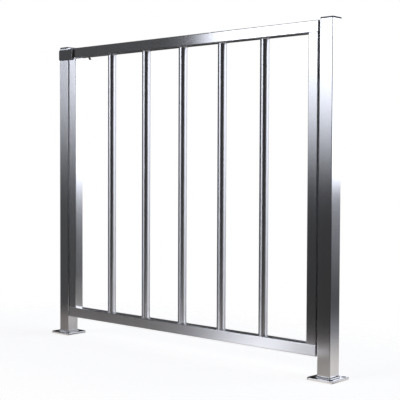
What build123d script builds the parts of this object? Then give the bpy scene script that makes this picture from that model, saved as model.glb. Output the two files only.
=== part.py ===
"""Waist-high access gate: two footed square posts and a swinging leaf of square tube with five round bars.

The origin is the centre of the hinge post's base plate underside. +X runs from the latch post to the hinge
post, -Y is the side seen in the photograph and +Z is up. All sizes are in millimetres.
"""
import os
from math import cos, radians, sin

from build123d import *

# Posts
OVERALL_HEIGHT = 900
POST_SIZE = 40
POST_WALL = 2
POST_CORNER_R = 2.5
CLEAR_OPENING = 960
POST_SPACING = CLEAR_OPENING + POST_SIZE
CAP_HEIGHT = 5
CAP_RIM = 0.8
CAP_SLOPE = 25
CAP_EDGE_R = 0.5
CAP_SPIGOT_DEPTH = 10
CAP_SPIGOT_FIT = 0.2

# Base plates
PLATE_SIZE = 80
PLATE_THICK = 6
PLATE_CORNER_R = 10
PLATE_EDGE_R = 1.5
BOLT_PITCH = 56
BOLT_HOLE_R = 7
FOOT_WELD = 4
FOOT_WELD_ANGLE = 42

# Leaf frame
LATCH_GAP = 5
HINGE_GAP = 5
FRAME_SIZE = 30
FRAME_WALL = 2
FRAME_CORNER_R = 2.5
LEAF_SETBACK = 1
LEAF_BOTTOM = 56
LEAF_TOP = 894
RAIL_CAP_THICK = 2
RAIL_CAP_EDGE_R = 0.8
JOINT_WELD_TRIM = 15

# Infill bars
BAR_COUNT = 5
BAR_PITCH = 147
BAR_DIAMETER = 24
BAR_WALL = 1.5
BAR_WELD = 2.2
BAR_WELD_ANGLE = 42
BAR_WELD_RUN_DOWN = 1

# Stop plate on the latch post and tab under the top rail
STOP_WIDTH = 62
STOP_HEIGHT = 32
STOP_THICK = 6
STOP_INSET = 3.5
STOP_TOP = 890.5
STOP_CORNER_R = 4.5
STOP_EDGE_R = 0.5
TAB_FROM_LATCH_POST = 99
TAB_WIDTH = 5
TAB_DROP = 9
TAB_LEAN = 6
TAB_THICK = 4

# Weld-on barrel hinges in the back corner between the leaf and the hinge post
HINGE_FROM_POST = 10
HINGE_BEHIND_LEAF = 8.5
HINGE_BARREL_R = 6
HINGE_BARREL_LENGTH = 33
HINGE_TAB_THICK = 3.5
HINGE_SADDLE_WIDTH = 7
HINGE_PIN_R = 3
HINGE_RUNNING_FIT = 0.05
HINGE_PIN_GRIP = 28
HINGE_END_FLOAT = 0.3
HINGE_WASHER_THICK = 2
HINGE_EDGE_R = 1
HINGE_FOOT_HEIGHTS = {"lower": 140, "upper": 745}

# Positions that follow from the sizes above
POST_INNER_FACE = POST_SIZE / 2
LATCH_POST_X = -POST_SPACING
HINGE_POST_X = 0
TUBE_TOP = OVERALL_HEIGHT - CAP_HEIGHT
LEAF_LEFT = LATCH_POST_X + POST_INNER_FACE + LATCH_GAP
LEAF_RIGHT = HINGE_POST_X - POST_INNER_FACE - HINGE_GAP
LEAF_WIDTH = LEAF_RIGHT - LEAF_LEFT
LEAF_CENTRE_X = (LEAF_LEFT + LEAF_RIGHT) / 2
LEAF_FRONT = -POST_SIZE / 2 + LEAF_SETBACK
LEAF_BACK = LEAF_FRONT + FRAME_SIZE
LEAF_CENTRE_Y = (LEAF_FRONT + LEAF_BACK) / 2
STILE_BOTTOM = LEAF_BOTTOM + FRAME_SIZE
STILE_TOP = LEAF_TOP - FRAME_SIZE
RAILS_Z = (LEAF_TOP - FRAME_SIZE / 2, LEAF_BOTTOM + FRAME_SIZE / 2)
STILES_X = (LEAF_LEFT + FRAME_SIZE / 2, LEAF_RIGHT - FRAME_SIZE / 2)
BARS_X = [LEAF_CENTRE_X + (i - (BAR_COUNT - 1) / 2) * BAR_PITCH for i in range(BAR_COUNT)]
HINGE_X = HINGE_POST_X - POST_INNER_FACE - HINGE_FROM_POST
HINGE_Y = LEAF_BACK + HINGE_BEHIND_LEAF

os.makedirs("parts", exist_ok=True)

# Two posts with their base plates, foot welds and caps
for side, post_x in (("latch", LATCH_POST_X), ("hinge", HINGE_POST_X)):
    with BuildPart() as plate:
        with BuildSketch(Plane.XY):
            with Locations((post_x, 0)):
                RectangleRounded(PLATE_SIZE, PLATE_SIZE, PLATE_CORNER_R)
                with GridLocations(BOLT_PITCH, BOLT_PITCH, 2, 2):
                    Circle(BOLT_HOLE_R, mode=Mode.SUBTRACT)
        extrude(amount=PLATE_THICK)
        top_outline = plate.faces().sort_by(Axis.Z)[-1].outer_wire().edges()
        fillet(top_outline, PLATE_EDGE_R)
    plate.part.label = f"{side}_post_base_plate"
    export_step(plate.part, f"parts/{side}_post_base_plate.step")

    with BuildPart() as foot_weld:
        with BuildSketch(Plane.XY.offset(PLATE_THICK)):
            with Locations((post_x, 0)):
                RectangleRounded(POST_SIZE + 2 * FOOT_WELD, POST_SIZE + 2 * FOOT_WELD, POST_CORNER_R + FOOT_WELD)
        extrude(amount=FOOT_WELD, taper=FOOT_WELD_ANGLE)
        with BuildSketch(Plane.XY.offset(PLATE_THICK)):
            with Locations((post_x, 0)):
                RectangleRounded(POST_SIZE, POST_SIZE, POST_CORNER_R)
        extrude(amount=FOOT_WELD, mode=Mode.SUBTRACT)
    foot_weld.part.label = f"{side}_post_foot_weld"
    export_step(foot_weld.part, f"parts/{side}_post_foot_weld.step")

    with BuildPart() as post:
        with BuildSketch(Plane.XY.offset(PLATE_THICK)):
            with Locations((post_x, 0)):
                RectangleRounded(POST_SIZE, POST_SIZE, POST_CORNER_R)
                RectangleRounded(
                    POST_SIZE - 2 * POST_WALL,
                    POST_SIZE - 2 * POST_WALL,
                    POST_CORNER_R - POST_WALL,
                    mode=Mode.SUBTRACT,
                )
        extrude(amount=TUBE_TOP - PLATE_THICK)
    post.part.label = f"{side}_post"
    export_step(post.part, f"parts/{side}_post.step")

    with BuildPart() as cap:
        with BuildSketch(Plane.XY.offset(TUBE_TOP)):
            with Locations((post_x, 0)):
                RectangleRounded(POST_SIZE, POST_SIZE, POST_CORNER_R)
        extrude(amount=CAP_RIM)
        with BuildSketch(Plane.XY.offset(TUBE_TOP + CAP_RIM)):
            with Locations((post_x, 0)):
                RectangleRounded(POST_SIZE, POST_SIZE, POST_CORNER_R)
        extrude(amount=CAP_HEIGHT - CAP_RIM, taper=CAP_SLOPE)
        fillet(cap.faces().sort_by(Axis.Z)[-1].edges(), CAP_EDGE_R)
        spigot_size = POST_SIZE - 2 * POST_WALL - 2 * CAP_SPIGOT_FIT
        with BuildSketch(Plane.XY.offset(TUBE_TOP)):
            with Locations((post_x, 0)):
                RectangleRounded(spigot_size, spigot_size, POST_CORNER_R - POST_WALL)
        extrude(amount=-CAP_SPIGOT_DEPTH)
    cap.part.label = f"{side}_post_cap"
    export_step(cap.part, f"parts/{side}_post_cap.step")

# Stop plate welded across the front of the latch post, reaching over the leaf's stile
with BuildPart() as stop_plate:
    stop_left = LATCH_POST_X - POST_SIZE / 2 + STOP_INSET
    with BuildSketch(Plane.XZ.offset(POST_SIZE / 2)):
        with Locations((stop_left + STOP_WIDTH / 2, STOP_TOP - STOP_HEIGHT / 2)):
            RectangleRounded(STOP_WIDTH, STOP_HEIGHT, STOP_CORNER_R)
    extrude(amount=STOP_THICK)
    fillet(stop_plate.faces().sort_by(Axis.Y)[0].edges(), STOP_EDGE_R)
stop_plate.part.label = "latch_stop_plate"
export_step(stop_plate.part, "parts/latch_stop_plate.step")

# Two rails that run the full width of the leaf, less their end caps
for level, rail_z in zip(("top", "bottom"), RAILS_Z):
    with BuildPart() as rail:
        with BuildSketch(Plane.YZ.offset(LEAF_LEFT + RAIL_CAP_THICK)):
            with Locations((LEAF_CENTRE_Y, rail_z)):
                RectangleRounded(FRAME_SIZE, FRAME_SIZE, FRAME_CORNER_R)
                RectangleRounded(
                    FRAME_SIZE - 2 * FRAME_WALL,
                    FRAME_SIZE - 2 * FRAME_WALL,
                    FRAME_CORNER_R - FRAME_WALL,
                    mode=Mode.SUBTRACT,
                )
        extrude(amount=LEAF_WIDTH - 2 * RAIL_CAP_THICK)
    rail.part.label = f"{level}_rail"
    export_step(rail.part, f"parts/{level}_rail.step")

# Flat plates that close the four rail ends
with BuildPart() as rail_caps:
    for rail_z in RAILS_Z:
        for cap_x in (LEAF_LEFT, LEAF_RIGHT - RAIL_CAP_THICK):
            with BuildSketch(Plane.YZ.offset(cap_x)):
                with Locations((LEAF_CENTRE_Y, rail_z)):
                    RectangleRounded(FRAME_SIZE, FRAME_SIZE, FRAME_CORNER_R)
            extrude(amount=RAIL_CAP_THICK)
    fillet(rail_caps.faces().filter_by_position(Axis.X, LEAF_LEFT, LEAF_LEFT).edges(), RAIL_CAP_EDGE_R)
    fillet(rail_caps.faces().filter_by_position(Axis.X, LEAF_RIGHT, LEAF_RIGHT).edges(), RAIL_CAP_EDGE_R)
rail_caps.part.label = "rail_end_caps"
export_step(rail_caps.part, "parts/rail_end_caps.step")

# Two stiles standing between the rails
for side, stile_x in zip(("latch", "hinge"), STILES_X):
    with BuildPart() as stile:
        with BuildSketch(Plane.XY.offset(STILE_BOTTOM)):
            with Locations((stile_x, LEAF_CENTRE_Y)):
                RectangleRounded(FRAME_SIZE, FRAME_SIZE, FRAME_CORNER_R)
                RectangleRounded(
                    FRAME_SIZE - 2 * FRAME_WALL,
                    FRAME_SIZE - 2 * FRAME_WALL,
                    FRAME_CORNER_R - FRAME_WALL,
                    mode=Mode.SUBTRACT,
                )
        extrude(amount=STILE_TOP - STILE_BOTTOM)
    stile.part.label = f"{side}_stile"
    export_step(stile.part, f"parts/{side}_stile.step")

# Five round bars between the rails, numbered from the latch side
for number, bar_x in enumerate(BARS_X, start=1):
    with BuildPart() as bar:
        with BuildSketch(Plane.XY.offset(STILE_BOTTOM)):
            with Locations((bar_x, LEAF_CENTRE_Y)):
                Circle(BAR_DIAMETER / 2)
                Circle(BAR_DIAMETER / 2 - BAR_WALL, mode=Mode.SUBTRACT)
        extrude(amount=STILE_TOP - STILE_BOTTOM)
    bar.part.label = f"bar_{number}"
    export_step(bar.part, f"parts/bar_{number}.step")

# Fillet welds round both ends of every bar, running down over the rounded edges of the rails
with BuildPart() as bar_welds:
    for bar_x in BARS_X:
        for end_z, direction in ((STILE_BOTTOM, (0, 0, 1)), (STILE_TOP, (0, 0, -1))):
            weld_plane = Plane((bar_x, LEAF_CENTRE_Y, end_z), x_dir=(1, 0, 0), z_dir=direction)
            with BuildSketch(weld_plane):
                Circle(BAR_DIAMETER / 2 + BAR_WELD)
            extrude(amount=BAR_WELD, taper=BAR_WELD_ANGLE)
            with BuildSketch(weld_plane):
                Circle(BAR_DIAMETER / 2 + BAR_WELD)
            extrude(amount=-BAR_WELD_RUN_DOWN)
    with BuildSketch(Plane.XY.offset(STILE_BOTTOM)):
        for bar_x in BARS_X:
            with Locations((bar_x, LEAF_CENTRE_Y)):
                Circle(BAR_DIAMETER / 2)
    extrude(amount=STILE_TOP - STILE_BOTTOM, mode=Mode.SUBTRACT)
    for rail_z in RAILS_Z:
        with BuildSketch(Plane.YZ.offset(LEAF_LEFT)):
            with Locations((LEAF_CENTRE_Y, rail_z)):
                RectangleRounded(FRAME_SIZE, FRAME_SIZE, FRAME_CORNER_R)
        extrude(amount=LEAF_WIDTH, mode=Mode.SUBTRACT)
bar_welds.part.label = "bar_end_welds"
export_step(bar_welds.part, "parts/bar_end_welds.step")

# Welds dressed flush that fill the grooves between the stile ends and the rounded edges of the rails
with BuildPart() as joint_welds:
    weld_reach = FRAME_CORNER_R * (1 - sin(radians(JOINT_WELD_TRIM)))
    weld_blunt = FRAME_CORNER_R * (1 - cos(radians(JOINT_WELD_TRIM)))
    weld_hollow = FRAME_CORNER_R * (1 - cos(radians(45)))
    flat_width = FRAME_SIZE - 2 * FRAME_CORNER_R
    for stile_x in STILES_X:
        for joint_z, into_rail in ((STILE_BOTTOM, -1), (STILE_TOP, 1)):
            for face_y, into_leaf in ((LEAF_FRONT, 1), (LEAF_BACK, -1)):
                front_end = (face_y + into_leaf * weld_blunt, joint_z + into_rail * weld_reach)
                inner_end = (face_y + into_leaf * weld_reach, joint_z + into_rail * weld_blunt)
                hollow = (face_y + into_leaf * weld_hollow, joint_z + into_rail * weld_hollow)
                with BuildSketch(Plane.YZ.offset(stile_x - flat_width / 2)):
                    with BuildLine():
                        Polyline(
                            front_end,
                            (face_y, joint_z + into_rail * weld_reach),
                            (face_y, joint_z),
                            (face_y + into_leaf * weld_reach, joint_z),
                            inner_end,
                        )
                        ThreePointArc(inner_end, hollow, front_end)
                    make_face()
                extrude(amount=flat_width)
joint_welds.part.label = "frame_joint_welds"
export_step(joint_welds.part, "parts/frame_joint_welds.step")

# Small leaning tab under the top rail near the latch side
with BuildPart() as rail_tab:
    tab_x = LATCH_POST_X + TAB_FROM_LATCH_POST
    with BuildSketch(Plane.XZ.offset(-LEAF_CENTRE_Y)):
        with BuildLine():
            Polyline(
                (tab_x, STILE_TOP),
                (tab_x + TAB_WIDTH, STILE_TOP),
                (tab_x + TAB_WIDTH + TAB_LEAN, STILE_TOP - TAB_DROP),
                (tab_x + TAB_WIDTH, STILE_TOP - TAB_DROP),
                close=True,
            )
        make_face()
    extrude(amount=TAB_THICK / 2, both=True)
rail_tab.part.label = "top_rail_tab"
export_step(rail_tab.part, "parts/top_rail_tab.step")

# Two hinges: a barrel with a tab on the post, a pressed pin, a washer and a barrel with a saddle on the leaf
for level, foot_z in HINGE_FOOT_HEIGHTS.items():
    washer_z = foot_z + HINGE_BARREL_LENGTH
    leaf_barrel_z = washer_z + HINGE_WASHER_THICK + HINGE_END_FLOAT

    with BuildPart() as post_barrel:
        with BuildSketch(Plane.XY.offset(foot_z)):
            with Locations((HINGE_X, HINGE_Y)):
                Circle(HINGE_BARREL_R)
        extrude(amount=HINGE_BARREL_LENGTH)
        fillet(post_barrel.faces().sort_by(Axis.Z)[0].edges(), HINGE_EDGE_R)
        tab_front = HINGE_Y - HINGE_BARREL_R
        with BuildSketch(Plane.XY.offset(foot_z + HINGE_EDGE_R)):
            with Locations((HINGE_X + HINGE_FROM_POST / 2, tab_front + HINGE_TAB_THICK / 2)):
                Rectangle(HINGE_FROM_POST, HINGE_TAB_THICK)
        extrude(amount=HINGE_BARREL_LENGTH - 2 * HINGE_EDGE_R)
        with BuildSketch(Plane.XY.offset(washer_z)):
            with Locations((HINGE_X, HINGE_Y)):
                Circle(HINGE_PIN_R)
        extrude(amount=-HINGE_PIN_GRIP, mode=Mode.SUBTRACT)
    post_barrel.part.label = f"{level}_hinge_post_barrel"
    export_step(post_barrel.part, f"parts/{level}_hinge_post_barrel.step")

    with BuildPart() as pin:
        with BuildSketch(Plane.XY.offset(washer_z - HINGE_PIN_GRIP)):
            with Locations((HINGE_X, HINGE_Y)):
                Circle(HINGE_PIN_R)
        extrude(amount=2 * HINGE_PIN_GRIP + HINGE_WASHER_THICK)
        chamfer(pin.faces().sort_by(Axis.Z)[-1].edges(), HINGE_EDGE_R)
    pin.part.label = f"{level}_hinge_pin"
    export_step(pin.part, f"parts/{level}_hinge_pin.step")

    with BuildPart() as washer:
        with BuildSketch(Plane.XY.offset(washer_z)):
            with Locations((HINGE_X, HINGE_Y)):
                Circle(HINGE_BARREL_R)
                Circle(HINGE_PIN_R, mode=Mode.SUBTRACT)
        extrude(amount=HINGE_WASHER_THICK)
    washer.part.label = f"{level}_hinge_washer"
    export_step(washer.part, f"parts/{level}_hinge_washer.step")

    with BuildPart() as leaf_barrel:
        with BuildSketch(Plane.XY.offset(leaf_barrel_z)):
            with Locations((HINGE_X, HINGE_Y)):
                Circle(HINGE_BARREL_R)
        extrude(amount=HINGE_BARREL_LENGTH)
        fillet(leaf_barrel.faces().sort_by(Axis.Z)[-1].edges(), HINGE_EDGE_R)
        saddle_left = HINGE_X - HINGE_BARREL_R
        with BuildSketch(Plane.XY.offset(leaf_barrel_z + HINGE_EDGE_R)):
            with Locations((saddle_left + HINGE_SADDLE_WIDTH / 2, LEAF_BACK + HINGE_BEHIND_LEAF / 2)):
                Rectangle(HINGE_SADDLE_WIDTH, HINGE_BEHIND_LEAF)
        extrude(amount=HINGE_BARREL_LENGTH - 2 * HINGE_EDGE_R)
        with BuildSketch(Plane.XY.offset(leaf_barrel_z)):
            with Locations((HINGE_X, HINGE_Y)):
                Circle(HINGE_PIN_R + HINGE_RUNNING_FIT)
        extrude(amount=HINGE_PIN_GRIP, mode=Mode.SUBTRACT)
    leaf_barrel.part.label = f"{level}_hinge_leaf_barrel"
    export_step(leaf_barrel.part, f"parts/{level}_hinge_leaf_barrel.step")
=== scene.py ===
"""Looks of a waist-high access gate in brushed stainless steel, dressed over its solids."""
import math
import random

import bmesh
import bpy
from mathutils import Matrix, Vector


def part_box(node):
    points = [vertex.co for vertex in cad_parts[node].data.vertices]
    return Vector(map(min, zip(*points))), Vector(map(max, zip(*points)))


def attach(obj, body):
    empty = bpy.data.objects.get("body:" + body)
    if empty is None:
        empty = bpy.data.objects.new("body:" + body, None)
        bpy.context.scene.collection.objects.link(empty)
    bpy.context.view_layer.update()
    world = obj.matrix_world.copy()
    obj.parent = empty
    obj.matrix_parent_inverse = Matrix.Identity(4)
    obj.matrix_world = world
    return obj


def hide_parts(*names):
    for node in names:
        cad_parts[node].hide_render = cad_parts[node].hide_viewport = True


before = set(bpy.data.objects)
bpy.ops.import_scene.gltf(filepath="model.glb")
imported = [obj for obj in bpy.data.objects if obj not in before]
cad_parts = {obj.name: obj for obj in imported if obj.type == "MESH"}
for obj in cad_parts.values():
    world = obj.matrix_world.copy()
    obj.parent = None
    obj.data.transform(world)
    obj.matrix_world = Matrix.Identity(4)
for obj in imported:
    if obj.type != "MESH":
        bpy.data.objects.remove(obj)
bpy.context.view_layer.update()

# Base plates.
# Two 80 mm squares of 6 mm stainless plate with rounded corners and dressed edges, drilled for four floor
# anchors each. Their tops carry the fine crossed scratches of a flap disc.


class Wire:
    """One output of a shader node. Arithmetic on it adds Math nodes to its tree."""

    def __init__(self, finish, socket):
        self.finish = finish
        self.socket = socket

    def maths(self, operation, first, second=0.0):
        return self.finish.add("ShaderNodeMath", {"operation": operation}, {0: first, 1: second})

    def __add__(self, other):
        return self.maths("ADD", self, other)

    def __radd__(self, other):
        return self.maths("ADD", other, self)

    def __sub__(self, other):
        return self.maths("SUBTRACT", self, other)

    def __rsub__(self, other):
        return self.maths("SUBTRACT", other, self)

    def __mul__(self, other):
        return self.maths("MULTIPLY", self, other)

    def __rmul__(self, other):
        return self.maths("MULTIPLY", other, self)

    def __abs__(self):
        return self.maths("ABSOLUTE", self)

    def over(self, limit):
        """How far this is above a limit, and 0 below it."""
        return self.maths("MAXIMUM", self - limit, 0.0)

    def rise(self, start, end):
        """0 up to start, 1 from end on, and a smooth step between them."""
        smooth = {"interpolation_type": "SMOOTHSTEP"}
        return self.finish.add("ShaderNodeMapRange", smooth, {"Value": self, "From Min": start, "From Max": end})


class Finish:
    """A shader tree. Every node comes from add, which takes its type, its settings and its sockets."""

    def __init__(self, tree):
        self.tree = tree
        tree.nodes.clear()

    def add(self, kind, settings=None, sockets=None, out=0):
        node = self.tree.nodes.new(kind)
        for name, value in (settings or {}).items():
            setattr(node, name, value)
        for key, value in (sockets or {}).items():
            if isinstance(value, Wire):
                self.tree.links.new(value.socket, node.inputs[key])
            else:
                node.inputs[key].default_value = value
        return Wire(self, node.outputs[out]) if len(node.outputs) else None

    def along(self, vector, axis):
        """The X, Y or Z part of a vector."""
        return self.add("ShaderNodeSeparateXYZ", {}, {0: vector}, out=axis)

    def blend(self, mask, low, high):
        """Colour low where the mask is 0 and high where it is 1."""
        return self.add("ShaderNodeMix", {"data_type": "RGBA"}, {0: mask, 6: low, 7: high}, out=2)

    def grain(self, place, per_metre, detail=2.0, lean=(0.0, 0.0, 0.0)):
        """Noise from 0 to 1 with so many grains a metre along X, Y and Z, turned by lean first."""
        by_euler = {"rotation_type": "EULER_XYZ"}
        turned = self.add("ShaderNodeVectorRotate", by_euler, {"Vector": place, "Rotation": lean})
        scaled = self.add("ShaderNodeVectorMath", {"operation": "MULTIPLY"}, {0: turned, 1: per_metre})
        return self.add("ShaderNodeTexNoise", {}, {"Vector": scaled, "Scale": 1.0, "Detail": detail}, out=0)


STEEL_SHADE = (0.575, 0.575, 0.59, 1.0)
STEEL_LIGHT = (0.695, 0.695, 0.70, 1.0)
SCRATCH_DETAIL = 4.0
SCRATCH_HEIGHT = 0.0003
SCRATCH_SHARE = 0.7
CLOUD_GRAIN = (17.0, 17.0, 11.0)
CLOUD_SHARE = 0.3
GRAIN_MEAN = 0.5
DISC_GRAIN = (900.0, 900.0, 60.0)
DISC_DEPTH = 5.0
CROSS_LEAN = (math.radians(40), math.radians(40), math.radians(40))
FRONT_OR_BACK = (0.5, 0.9)


def satin_steel(
    name, per_metre, rough=0.32, spread=0.10, pull=0.0, turn=0.0, relief=0.02,
    tones=(STEEL_SHADE, STEEL_LIGHT), dressed=None,
):
    """Metal with scratches of per_metre grains, which pull the highlights across them. Dressed, given as an
    axis, a point on it and two distances from there, fades the front and back to crossed disc marks."""
    material = bpy.data.materials.new(name)
    material.use_nodes = True
    finish = Finish(material.node_tree)
    place = finish.add("ShaderNodeTexCoord", out="Object")
    scratch = finish.grain(place, per_metre, SCRATCH_DETAIL)
    cloud = finish.grain(place, CLOUD_GRAIN)
    depth = scratch
    if dressed:
        axis, point, start, end = dressed
        facing = finish.along(finish.add("ShaderNodeTexCoord", out="Normal"), 1)
        flat_side = abs(facing).rise(*FRONT_OR_BACK)
        ends = abs(finish.along(place, axis) - point).rise(start, end) * flat_side
        crossed = finish.grain(place, DISC_GRAIN, SCRATCH_DETAIL, CROSS_LEAN)
        depth = scratch * (1.0 - ends) + crossed * ends * DISC_DEPTH
        scratch = scratch * (1.0 - ends) + crossed * ends
    shade = scratch * SCRATCH_SHARE + cloud * CLOUD_SHARE
    roughness = rough + (scratch - GRAIN_MEAN) * spread + (cloud - GRAIN_MEAN) * spread
    bump = {"Strength": relief, "Distance": SCRATCH_HEIGHT, "Height": depth}
    normal = finish.add("ShaderNodeBump", {}, bump)
    metal = {
        "Base Color": finish.blend(shade, *tones),
        "Metallic": 1.0,
        "Roughness": roughness,
        "Anisotropic": pull,
        "Anisotropic Rotation": turn,
        "Normal": normal,
    }
    surface = finish.add("ShaderNodeBsdfPrincipled", {}, metal)
    finish.add("ShaderNodeOutputMaterial", {}, {"Surface": surface})
    return material


def dress(material, *nodes):
    """Gives solids a finish in place of their plain one."""
    for node in nodes:
        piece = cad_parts[node]
        piece.data.materials.clear()
        piece.data.materials.append(material)


PLATE_GRAIN = (380.0, 380.0, 380.0)
plate_steel = satin_steel("disc_dressed_plate", PLATE_GRAIN, rough=0.09, spread=0.04)
dress(plate_steel, "latch_post_base_plate", "hinge_post_base_plate")

# Posts.
# Two 40 mm square welded tubes with 2 mm walls and tight corners, standing on the plates. A belt linished them
# lengthways, so the scratches run up the tube and pull the highlights sideways. The latch
# post's steel colour is painted lighter than the hinge post's: a painted highlight for the light it catches.

UPRIGHT_GRAIN = (1100.0, 1100.0, 14.0)
ACROSS_TUBE = 0.0
ALONG_TUBE = 0.25
# Lighter steel colours for the latch post and both rails: painted light on the same steel as the other parts.
PAINTED_LIT_TONES = ((0.68, 0.68, 0.69, 1.0), (0.80, 0.80, 0.805, 1.0))
POST_ROUGH = 0.195
FINE_SPREAD = 0.03

hinge_post_satin = satin_steel(
    "hinge_post_satin", UPRIGHT_GRAIN, POST_ROUGH, FINE_SPREAD, pull=1.0, turn=ACROSS_TUBE
)
latch_post_satin = satin_steel(
    "latch_post_satin", UPRIGHT_GRAIN, POST_ROUGH, FINE_SPREAD, pull=1.0, turn=ACROSS_TUBE, tones=PAINTED_LIT_TONES
)
dress(hinge_post_satin, "hinge_post")
dress(latch_post_satin, "latch_post")

# Foot welds.
# One hand-laid fillet bead round the foot of each post, brushed bright, which ties the tube to its plate. The
# ripples of the weld pool show all the way round.

POST_HALF = 0.020
POST_CORNER = 0.0025
PLATE_TOP = 0.006
LATCH_POST_X = -1.0
HINGE_POST_X = 0.0
FOOT_LEG = 0.0040
RIPPLE_PITCH = 0.0026
RIPPLE_DEPTH = 0.20
RIPPLE_POWER = 0.6
WAVE_LENGTH = 0.05
WAVE_DEPTH = 0.04
BEAD_POINTS = 7
BEAD_BULGE = 1.25
BEAD_BURY = 0.0003
BEAD_STEP = 0.00065
BEAD_SEED = 40
LEAST_ARC_STEPS = 4
TAPER_START = 0.3
TAPER_STEPS = 4
UP = Vector((0.0, 0.0, 1.0))


def ring_stations(centre, half, corner, up):
    """Points round a square with rounded corners, or a circle where corner equals half, each with its outward
    and upward direction."""
    stations = []
    flat = half - corner
    arc_steps = max(LEAST_ARC_STEPS, round(corner * math.pi / 2 / BEAD_STEP))
    flat_steps = max(1, round(2 * flat / BEAD_STEP))
    for quarter in range(4):
        base = quarter * math.pi / 2
        swing = Matrix.Rotation(base, 3, "Z")
        for step in range(arc_steps):
            angle = math.pi / 2 * step / arc_steps
            out = swing @ Vector((math.cos(angle), math.sin(angle), 0.0))
            hub = swing @ Vector((flat, flat, 0.0))
            stations.append((centre + hub + out * corner, out, up))
        side_out = swing @ Vector((0.0, 1.0, 0.0))
        for step in range(flat_steps if flat > 0 else 0):
            place = swing @ Vector((flat - 2 * flat * step / flat_steps, half, 0.0))
            stations.append((centre + place, side_out, up))
    return stations


def lay_bead(mesh, stations, leg, draw, closed=True, settle=None):
    """Sweeps a rippled fillet along stations of root, out and up. An open bead tapers at both ends, and settle
    moves each point on to a curved face."""
    gaps = [(b[0] - a[0]).length for a, b in zip(stations, stations[1:])]
    length = sum(gaps) + ((stations[0][0] - stations[-1][0]).length if closed else 0.0)
    ripples = max(1, round(length / RIPPLE_PITCH))
    waves = 2 * max(1, round(length / WAVE_LENGTH))
    start = draw.uniform(0.0, math.tau)
    run = 0.0
    rings = []
    for index, (root, out, up) in enumerate(stations):
        scallop = abs(math.sin(math.pi * ripples * run / length)) ** RIPPLE_POWER
        drift = math.sin(start + math.tau * waves * run / length)
        size = leg * (1 - RIPPLE_DEPTH * (1 - scallop)) * (1 - WAVE_DEPTH + WAVE_DEPTH * drift)
        if not closed:
            from_end = min(index, len(stations) - 1 - index)
            size *= min(1.0, TAPER_START + from_end / TAPER_STEPS)
        points = [root - (out + up) * BEAD_BURY]
        for step in range(BEAD_POINTS):
            angle = math.pi / 2 * step / (BEAD_POINTS - 1)
            reach = math.cos(angle) ** BEAD_BULGE if step < BEAD_POINTS - 1 else 0.0
            points.append(root + out * size * reach + up * size * math.sin(angle) ** BEAD_BULGE)
        if settle:
            points = [settle(point) for point in points]
        rings.append([mesh.verts.new(point) for point in points])
        if index < len(gaps):
            run += gaps[index]
    pairs = list(zip(rings, rings[1:]))
    if closed:
        pairs.append((rings[-1], rings[0]))
    else:
        mesh.faces.new(rings[0])
        mesh.faces.new(list(reversed(rings[-1])))
    for here, there in pairs:
        for low in range(len(here)):
            high = (low + 1) % len(here)
            mesh.faces.new((here[low], there[low], there[high], here[high]))


def make_piece(name, mesh, material, body):
    """Turns built faces into a smooth piece of the object that moves with a body."""
    bmesh.ops.recalc_face_normals(mesh, faces=mesh.faces[:])
    data = bpy.data.meshes.new(name)
    mesh.to_mesh(data)
    mesh.free()
    for face in data.polygons:
        face.use_smooth = True
    data.materials.append(material)
    piece = bpy.data.objects.new(name, data)
    bpy.context.scene.collection.objects.link(piece)
    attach(piece, body)
    return piece


BEAD_SHADE = (0.60, 0.595, 0.59, 1.0)
BEAD_LIGHT = (0.74, 0.735, 0.73, 1.0)
BEAD_GRAIN = (520.0, 520.0, 520.0)
bead_steel = satin_steel(
    "brushed_weld_bead", BEAD_GRAIN, rough=0.33, spread=0.14, relief=0.12, tones=(BEAD_SHADE, BEAD_LIGHT)
)

draw = random.Random(BEAD_SEED)
for side, post_x in (("latch", LATCH_POST_X), ("hinge", HINGE_POST_X)):
    foot = bmesh.new()
    foot_centre = Vector((post_x, 0.0, PLATE_TOP))
    lay_bead(foot, ring_stations(foot_centre, POST_HALF, POST_CORNER, UP), FOOT_LEG, draw)
    foot_bead = make_piece(f"{side}_post_foot_bead", foot, bead_steel, "posts")
    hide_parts(f"{side}_post_foot_weld")

# Post caps.
# Pressed stainless caps, 5 mm high with sloped sides, driven into the tops of the posts on a hidden spigot. The
# pressing leaves them a little smoother than the tubes. Their darker, bluer colour is painted shade, a painted
# reflection of the dark studio above them.

# Darker, bluer steel colours: painted shade for the caps.
CAP_PAINTED_SHADE_LOW = (0.50, 0.505, 0.535, 1.0)
CAP_PAINTED_SHADE_HIGH = (0.62, 0.625, 0.65, 1.0)
CAP_GRAIN = (300.0, 300.0, 300.0)
cap_steel = satin_steel("pressed_cap_painted_shade", CAP_GRAIN, rough=0.12, spread=0.04, tones=(CAP_PAINTED_SHADE_LOW, CAP_PAINTED_SHADE_HIGH))
dress(cap_steel, "latch_post_cap", "hinge_post_cap")

# Stop plate.
# A 6 mm plate with rounded corners, welded across the front of the latch post and reaching over the leaf, so
# that the leaf shuts against its back. Its face is linished across.

ACROSS_GRAIN = (14.0, 1100.0, 1100.0)
stop_satin = satin_steel(
    "stop_plate_satin", ACROSS_GRAIN, rough=0.17, spread=FINE_SPREAD, pull=1.0, turn=ALONG_TUBE
)
dress(stop_satin, "latch_stop_plate")

# Leaf frame.
# Two rails of 30 mm square tube run the full width of the leaf, with two stiles butted between them and thin
# plates closing the rail ends. The tubes are linished lengthways, and a disc dressed the fronts and backs of the
# lower corners after welding.

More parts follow.
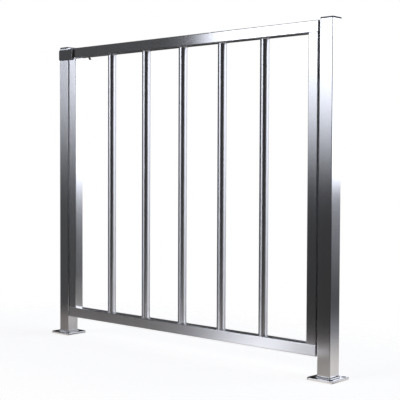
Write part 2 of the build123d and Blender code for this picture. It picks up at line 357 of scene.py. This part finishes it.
LEAF_MIDDLE_X = -0.5
STILE_TOP_Z = 0.864
# Lighter still: painted light on the latch stile, which is the same tube as the hinge stile.
PAINTED_BRIGHTER_TONES = ((0.78, 0.78, 0.79, 1.0), (0.90, 0.90, 0.905, 1.0))
RAIL_DRESSED = (0, LEAF_MIDDLE_X, 0.420, 0.465)
STILE_DRESSED = (2, STILE_TOP_Z, 0.674, 0.782)
rail_satin = satin_steel(
    "rail_tube_satin", ACROSS_GRAIN, rough=0.16, spread=FINE_SPREAD, pull=1.0, turn=ALONG_TUBE, tones=PAINTED_LIT_TONES
)
stile_satin = satin_steel(
    "stile_tube_satin", UPRIGHT_GRAIN, rough=0.215, spread=FINE_SPREAD, pull=1.0, turn=ACROSS_TUBE,
    dressed=STILE_DRESSED,
)
low_rail_satin = satin_steel(
    "low_rail_tube_satin", ACROSS_GRAIN, rough=0.25, spread=0.04, pull=1.0, turn=ALONG_TUBE,
    tones=PAINTED_LIT_TONES, dressed=RAIL_DRESSED,
)
latch_stile_satin = satin_steel(
    "latch_stile_tube_satin", UPRIGHT_GRAIN, rough=0.24, spread=FINE_SPREAD, pull=1.0, turn=ACROSS_TUBE,
    tones=PAINTED_BRIGHTER_TONES, dressed=STILE_DRESSED,
)
dress(rail_satin, "top_rail")
dress(low_rail_satin, "bottom_rail")
dress(stile_satin, "hinge_stile")
dress(latch_stile_satin, "latch_stile")

# Dressed corner joints.
# The fillets that join stiles to rails are ground flush with a flap disc, and the rail ends were dressed at the
# same time, so both carry crossed scratches.

CORNER_GRAIN = (700.0, 700.0, 700.0)
corner_steel = satin_steel("disc_dressed_corner", CORNER_GRAIN, rough=0.34, spread=0.12)
dress(corner_steel, "frame_joint_welds", "rail_end_caps")

# Infill bars.
# Five 24 mm round tubes with 1.5 mm walls standing between the rails. They were polished by a belt running round
# them, so the scratches circle the bar and the reflections stay sharp across it.

ROUND_GRAIN = (3.0, 3.0, 1300.0)
BAR_COUNT = 5
bar_satin = satin_steel(
    "bar_tube_satin", ROUND_GRAIN, rough=0.28, spread=0.008, pull=0.8, turn=ALONG_TUBE, relief=0.0015
)
dress(bar_satin, *(f"bar_{number + 1}" for number in range(BAR_COUNT)))

# Bar welds.
# A small fillet bead round each end of every bar. At the front and back it runs down over the rounded edge of
# the rail.

BARS_X = (-0.794, -0.647, -0.500, -0.353, -0.206)
LEAF_MIDDLE_Y = -0.004
BAR_RADIUS = 0.012
BAR_LEG = 0.0022
BAR_FOOT = 0.086
BAR_HEAD = 0.864
RAIL_HALF = 0.015
RAIL_CORNER = 0.0025
RAIL_FLAT = RAIL_HALF - RAIL_CORNER
NEAR_RAIL = BAR_LEG * 0.5


def over_rail_edge(rail_face, away):
    """Lets a point near the rail's front or back edge down on to the rounding. Away is +1 above a rail."""
    def settle(point):
        past = abs(point.y - LEAF_MIDDLE_Y) - RAIL_FLAT
        if past <= 0 or abs(point.z - rail_face) > NEAR_RAIL:
            return point
        fall = RAIL_CORNER - math.sqrt(RAIL_CORNER ** 2 - past ** 2)
        return point - UP * fall * away
    return settle


bar_ends = bmesh.new()
for bar_x in BARS_X:
    for rail_face, away in ((BAR_FOOT, 1.0), (BAR_HEAD, -1.0)):
        root_centre = Vector((bar_x, LEAF_MIDDLE_Y, rail_face))
        stations = ring_stations(root_centre, BAR_RADIUS, BAR_RADIUS, UP * away)
        lay_bead(bar_ends, stations, BAR_LEG, draw, settle=over_rail_edge(rail_face, away))
bar_beads = make_piece("bar_end_beads", bar_ends, bead_steel, "leaf")
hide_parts("bar_end_welds")

# Tab under the top rail.
# A small leaning lug of 4 mm plate welded under the top rail near the latch side.

dress(plate_steel, "top_rail_tab")

# Hinges.
# Two weld-on barrel hinges behind the hinge stile: a barrel on the post holds a ground pin, and a barrel on the
# leaf turns on it over a bronze washer. The barrels are turned, so their scratches circle them.

barrel_steel = satin_steel("turned_barrel_steel", ROUND_GRAIN, rough=0.26, pull=0.5, turn=ALONG_TUBE)
pin_steel = satin_steel("ground_pin_steel", ROUND_GRAIN, rough=0.15, spread=0.05, pull=0.4, turn=ALONG_TUBE)
BRONZE_SHADE = (0.42, 0.25, 0.10, 1.0)
BRONZE_LIGHT = (0.62, 0.41, 0.19, 1.0)
BRONZE_GRAIN = (600.0, 600.0, 600.0)
washer_bronze = satin_steel(
    "oiled_bronze", BRONZE_GRAIN, rough=0.34, spread=0.12, tones=(BRONZE_SHADE, BRONZE_LIGHT)
)
HINGES = ("lower", "upper")
for level in HINGES:
    dress(barrel_steel, f"{level}_hinge_post_barrel", f"{level}_hinge_leaf_barrel")
    dress(pin_steel, f"{level}_hinge_pin")
    dress(washer_bronze, f"{level}_hinge_washer")

# Hinge welds.
# Short fillet beads down both sides of each hinge tab, where it meets the inner face of the post, and of each
# saddle, where it meets the back of the stile.

POST_FACE_X = -0.020
TAB_FRONT_Y = 0.0135
TAB_BACK_Y = 0.0170
STILE_BACK_Y = 0.011
SADDLE_LEFT_X = -0.036
SADDLE_RIGHT_X = -0.029
TAB_LEG = 0.0016
SADDLE_LEG = 0.0014
BEAD_END_GAP = 0.002
LEFT = Vector((-1.0, 0.0, 0.0))
RIGHT = Vector((1.0, 0.0, 0.0))
BACK = Vector((0.0, 1.0, 0.0))
FRONT = Vector((0.0, -1.0, 0.0))
ROUND_CORNER = Vector((0.2, 1.0, 0.0))


def straight_stations(x, y, levels, out, up):
    """Points up a vertical seam that stops short of both levels, each with its two directions."""
    low, high = levels[0] + BEAD_END_GAP, levels[1] - BEAD_END_GAP
    steps = round((high - low) / BEAD_STEP)
    return [(Vector((x, y, low + (high - low) * step / steps)), out, up) for step in range(steps + 1)]


for level in HINGES:
    tab_levels = [corner.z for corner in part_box(f"{level}_hinge_post_barrel")]
    tab_seams = bmesh.new()
    for seam_y, up in ((TAB_FRONT_Y, FRONT), (TAB_BACK_Y, ROUND_CORNER)):
        seam = straight_stations(POST_FACE_X, seam_y, tab_levels, LEFT, up)
        lay_bead(tab_seams, seam, TAB_LEG, draw, closed=False)
    make_piece(f"{level}_hinge_tab_beads", tab_seams, bead_steel, "posts")

    saddle_levels = [corner.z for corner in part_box(f"{level}_hinge_leaf_barrel")]
    saddle_seams = bmesh.new()
    for seam_x, out in ((SADDLE_LEFT_X, LEFT), (SADDLE_RIGHT_X, RIGHT)):
        seam = straight_stations(seam_x, STILE_BACK_Y, saddle_levels, out, BACK)
        lay_bead(saddle_seams, seam, SADDLE_LEG, draw, closed=False)
    make_piece(f"{level}_hinge_saddle_beads", saddle_seams, bead_steel, "leaf")

# Floor.
# A plain pale studio floor that takes the gate's soft shadow and fades into the white round it. The eye sees it
# evenly lifted. The steel sees painted light and shade on it: dim in front as painted shade, pale behind with a
# painted shadow of the leaf, and a painted glow beside the feet and in a pool before the rail, where no lamp is.

FLOOR_DROP = -0.0005
FLOOR_RADIUS = 1.7
FLOOR_SIDES = 96
FLOOR_NEAR = 0.30
FLOOR_FAR = 0.85
FLOOR_PAINT = (0.95, 0.915, 0.88, 1.0)
# Painted shade for the floor in front of the gate and in the leaf's painted shadow behind it, as the steel sees
# it.
FLOOR_DIM = (0.42, 0.38, 0.345, 1.0)
# Near black: painted shade on the floor under the base plates, seen through their anchor holes.
FLOOR_PAINTED_SHADE = (0.05, 0.05, 0.055, 1.0)
FLOOR_SEEN = (0.42, 0.42, 0.42, 1.0)
FLOOR_LIFT = 0.82
HALF_PITCH = 0.5
BACK_START = (-0.06, 0.02)
SHADE_DEPTH = (0.15, 0.45)
SHADE_END = (-0.05, 0.28)
POOL_LIGHT = (1.62, 1.64, 1.74)
POOL_LEFT = (-0.66, -0.34)
POOL_RIGHT = (-0.32, -0.20)
POOL_FRONT = (-0.36, -0.26)
POOL_BACK = (-0.16, -0.08)
WARM_LIGHT = (1.0, 0.95, 0.89)
BACK_LEVEL = 0.6
BACK_DEPTH = (0.05, 0.9)
BACK_WIDTH = (-1.2, -0.3)
PLATE_RIM = (0.0370, 0.0385)
RIM_LEVEL = 0.6
RIM_REACH = (0.045, 0.075)
FOOT_REACH = (0.05, 0.60)
FOOT_FRONT = (-0.045, -0.035)
LATCH_FOOT_LEVEL = 0.12
HINGE_FOOT_MORE = 0.20
floor_faces = bmesh.new()
floor_lie = Matrix.Translation((LEAF_MIDDLE_X, 0.0, FLOOR_DROP))
bmesh.ops.create_circle(floor_faces, cap_ends=True, segments=FLOOR_SIDES, radius=FLOOR_RADIUS, matrix=floor_lie)
floor_data = bpy.data.meshes.new("studio_floor")
floor_faces.to_mesh(floor_data)
floor_faces.free()
floor = bpy.data.objects.new("studio_floor", floor_data)
bpy.context.scene.collection.objects.link(floor)

floor_material = bpy.data.materials.new("studio_floor")
floor_material.use_nodes = True
paint = Finish(floor_material.node_tree)
floor_place = paint.add("ShaderNodeTexCoord", out="Object")
along_gate = paint.along(floor_place, 0)
before = paint.along(floor_place, 1)
off_middle = abs(along_gate - LEAF_MIDDLE_X)
beside = off_middle.over(HALF_PITCH)
away_from_gate = paint.add("ShaderNodeMath", {"operation": "SQRT"}, {0: beside * beside + before * before})
# Painted shadow of the leaf on the floor behind the gate.
gate_shade = before.rise(*SHADE_DEPTH) * (1.0 - along_gate.rise(*SHADE_END))
behind = before.rise(*BACK_START) * (1.0 - gate_shade)
matt_paint_and_shade = paint.blend(behind, FLOOR_DIM, FLOOR_PAINT)
matt_with_painted_shade = paint.add("ShaderNodeBsdfDiffuse", {}, {"Color": matt_paint_and_shade})

# Painted light: the floor glows in a pool before the rail, behind the gate and beside the feet, though it is no
# lamp.
pool_width = along_gate.rise(*POOL_LEFT) * (1.0 - along_gate.rise(*POOL_RIGHT))
pool = pool_width * before.rise(*POOL_FRONT) * (1.0 - before.rise(*POOL_BACK))
back_glow = behind * (1.0 - before.rise(*BACK_DEPTH)) * along_gate.rise(*BACK_WIDTH)
beside_post = abs(off_middle - HALF_PITCH)
off_post = beside_post.maths("MAXIMUM", beside_post, abs(before))
foot_level = LATCH_FOOT_LEVEL + along_gate.rise(LATCH_POST_X, HINGE_POST_X) * HINGE_FOOT_MORE
near_post = (1.0 - off_post.rise(*RIM_REACH)) * RIM_LEVEL + (1.0 - off_post.rise(*FOOT_REACH)) * foot_level
foot_glow = near_post * (1.0 - before.rise(*FOOT_FRONT))
warm_level = back_glow * BACK_LEVEL + foot_glow
warm_glow = paint.add("ShaderNodeVectorMath", {"operation": "SCALE"}, {0: WARM_LIGHT, "Scale": warm_level})
pool_glow = paint.add("ShaderNodeVectorMath", {"operation": "SCALE"}, {0: POOL_LIGHT, "Scale": pool})
glow_colour = paint.add("ShaderNodeVectorMath", {"operation": "ADD"}, {0: warm_glow, 1: pool_glow})
glow = paint.add("ShaderNodeEmission", {}, {"Color": glow_colour, "Strength": 1.0})
lit_floor = paint.add("ShaderNodeAddShader", {}, {0: matt_with_painted_shade, 1: glow})

seen_matt = paint.add("ShaderNodeBsdfDiffuse", {}, {"Color": FLOOR_SEEN})
lift = paint.add("ShaderNodeEmission", {}, {"Strength": FLOOR_LIFT})
lifted_floor = paint.add("ShaderNodeAddShader", {}, {0: seen_matt, 1: lift})
seen = paint.add("ShaderNodeLightPath", out="Is Camera Ray")
open_floor = paint.add("ShaderNodeMixShader", {}, {0: seen, 1: lit_floor, 2: lifted_floor})
# Painted shade under the base plates, in place of the floor's glow.
painted_plate_shade = paint.add("ShaderNodeBsdfDiffuse", {}, {"Color": FLOOR_PAINTED_SHADE})
clear_of_plate = off_post.rise(*PLATE_RIM)
near_floor = paint.add("ShaderNodeMixShader", {}, {0: clear_of_plate, 1: painted_plate_shade, 2: open_floor})
nothing = paint.add("ShaderNodeBsdfTransparent")
fade = away_from_gate.rise(FLOOR_NEAR, FLOOR_FAR)
floor_surface = paint.add("ShaderNodeMixShader", {}, {0: fade, 1: near_floor, 2: nothing})
paint.add("ShaderNodeOutputMaterial", {}, {"Surface": floor_surface})
floor_data.materials.append(floor_material)

# Studio.
# White all round to the eye. What lights the steel is a soft box at the front left, white walls at the right and
# low behind, a strip at the back left, pale floor behind and a pale ceiling, with dark studio between them.
# Azimuths run from the front to the right, in degrees.

DARK_STUDIO = (0.043, 0.043, 0.0435)
PURE_WHITE = (1.0, 1.0, 1.0, 1.0)
COOL_WHITE = (0.875, 0.905, 1.0)
SOFT_BOX = 3.35
WHITE_WALL = 2.4
DIM_WALL = 1.5
LEFT_WALL = 0.05
BACK_FLOOR = 0.41
CEILING = 0.7
CEILING_EDGE = (0.92, 0.98)

world = bpy.data.worlds.new("white_studio")
bpy.context.scene.world = world
world.use_nodes = True
sky = Finish(world.node_tree)
ray = sky.add("ShaderNodeTexCoord", out="Generated")
climb = sky.along(ray, 2)
level_ray = sky.add("ShaderNodeVectorMath", {"operation": "MULTIPLY"}, {0: ray, 1: (1.0, 1.0, 0.0)})
heading = sky.add("ShaderNodeVectorMath", {"operation": "NORMALIZE"}, {0: level_ray})


def panel(azimuth, half_width, edge, foot, head):
    """1 inside a panel of light seen at an azimuth. It fades in over foot and out over head, in degrees."""
    turn = math.radians(azimuth)
    aim = (math.sin(turn), -math.cos(turn), 0.0)
    facing = sky.add("ShaderNodeVectorMath", {"operation": "DOT_PRODUCT"}, {0: heading, 1: aim}, out=1)
    outer = math.cos(math.radians(half_width + edge))
    inner = math.cos(math.radians(half_width - edge))
    foot_low, foot_high = (math.sin(math.radians(angle)) for angle in foot)
    head_low, head_high = (math.sin(math.radians(angle)) for angle in head)
    height = climb.rise(foot_low, foot_high) * (1.0 - climb.rise(head_low, head_high))
    return facing.rise(outer, inner) * height


soft_box = panel(azimuth=-24.2, half_width=18.2, edge=0.5, foot=(-2.0, 7.5), head=(25.0, 40.0))
right_wall = panel(azimuth=117.0, half_width=32.0, edge=3.0, foot=(-1.4, -0.9), head=(32.0, 48.0))
low_wall = panel(azimuth=156.0, half_width=7.0, edge=2.0, foot=(-1.4, -0.9), head=(10.0, 20.0))
back_wall = panel(azimuth=174.0, half_width=13.0, edge=3.0, foot=(-1.7, -1.1), head=(6.0, 11.0))
back_strip = panel(azimuth=207.4, half_width=7.7, edge=0.4, foot=(10.0, 11.0), head=(13.5, 15.0))
left_wall = panel(azimuth=-89.0, half_width=45.0, edge=2.0, foot=(-14.0, -9.0), head=(55.0, 75.0))
far_floor = panel(azimuth=167.0, half_width=32.0, edge=12.0, foot=(-10.0, -1.0), head=(-1.5, -0.5))
near_floor_behind = panel(azimuth=142.0, half_width=57.0, edge=3.0, foot=(-40.0, -30.0), head=(-10.0, -8.2))
ceiling = climb.rise(*CEILING_EDGE)
walls = (right_wall + low_wall) * WHITE_WALL + (back_wall + back_strip) * DIM_WALL + left_wall * LEFT_WALL
floors = (far_floor + near_floor_behind) * BACK_FLOOR
panels = soft_box * SOFT_BOX + walls + floors + ceiling * CEILING
eye = sky.add("ShaderNodeLightPath", out="Is Camera Ray")
panel_light = sky.add("ShaderNodeVectorMath", {"operation": "SCALE"}, {0: COOL_WHITE, "Scale": panels})
studio_light = sky.add("ShaderNodeVectorMath", {"operation": "ADD"}, {0: panel_light, 1: DARK_STUDIO})
light = sky.add("ShaderNodeBackground", {}, {"Color": studio_light, "Strength": 1.0})
white = sky.add("ShaderNodeBackground", {}, {"Color": PURE_WHITE, "Strength": 1.0})
sky_surface = sky.add("ShaderNodeMixShader", {}, {0: eye, 1: light, 2: white})
sky.add("ShaderNodeOutputWorld", {}, {"Surface": sky_surface})

# Camera.
# A level view from the front right at the height of a table, with a long lens.

CAMERA_PLACE = Vector((1.43420, -2.03477, 0.53705))
CAMERA_YAW = 0.74339
CAMERA_PITCH = -0.03632
CAMERA_ROLL = 0.0041
FOCAL_PIXELS = 995.14
PICTURE_PIXELS = 400
SENSOR = 36.0

ahead = Vector((
    -math.sin(CAMERA_YAW) * math.cos(CAMERA_PITCH),
    math.cos(CAMERA_YAW) * math.cos(CAMERA_PITCH),
    math.sin(CAMERA_PITCH),
))
level_right = Vector((math.cos(CAMERA_YAW), math.sin(CAMERA_YAW), 0.0))
level_up = level_right.cross(ahead)
right = level_right * math.cos(CAMERA_ROLL) + level_up * math.sin(CAMERA_ROLL)
top = level_up * math.cos(CAMERA_ROLL) - level_right * math.sin(CAMERA_ROLL)
camera_data = bpy.data.cameras.new("camera")
camera_data.sensor_width = SENSOR
camera_data.lens = FOCAL_PIXELS * SENSOR / PICTURE_PIXELS
camera = bpy.data.objects.new("camera", camera_data)
camera.matrix_world = Matrix((right, top, -ahead)).transposed().to_4x4()
camera.location = CAMERA_PLACE
bpy.context.scene.collection.objects.link(camera)
bpy.context.scene.camera = camera
bpy.context.scene.view_settings.view_transform = "Standard"
